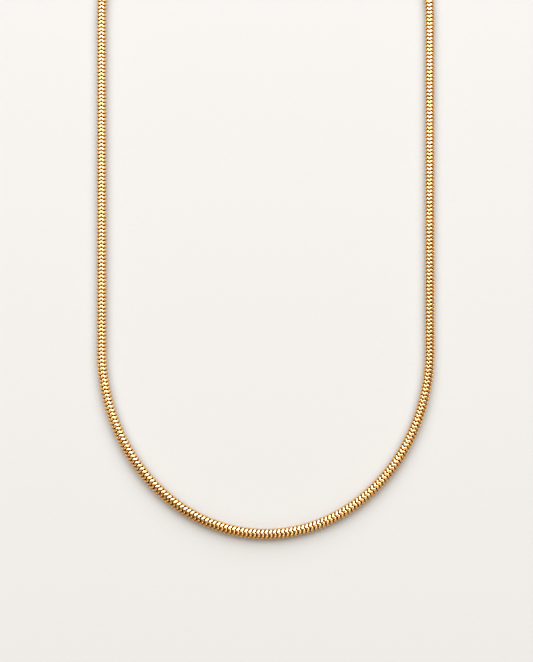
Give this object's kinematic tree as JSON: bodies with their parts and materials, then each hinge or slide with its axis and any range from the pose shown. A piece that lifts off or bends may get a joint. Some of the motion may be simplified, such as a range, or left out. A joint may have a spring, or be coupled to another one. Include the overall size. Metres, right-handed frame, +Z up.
{
  "type": "round snake chain necklace",
  "caption": "Round woven snake chain necklace lying flat in a closed loop, with a cap and eye on each end and a plain S hook between them.",
  "frame": {"origin": "middle of the part's bounding box, on the surface that the chain lies on", "axes": "+X across the two strands, +Y from the front bow towards the clasp, +Z up from the surface"},
  "size_m": [0.086, 0.1792, 0.0034],
  "materials": {
    "chain_links": "polished gold plating, darkened in the gaps between links",
    "end_caps": "polished gold plating",
    "hook_wire": "polished gold plating"
  },
  "bodies": {
    "root": {"chain": "chain_links", "end_cap_left": "end_caps", "end_cap_right": "end_caps", "clasp_hook": "hook_wire"}
  },
  "joints": []
}
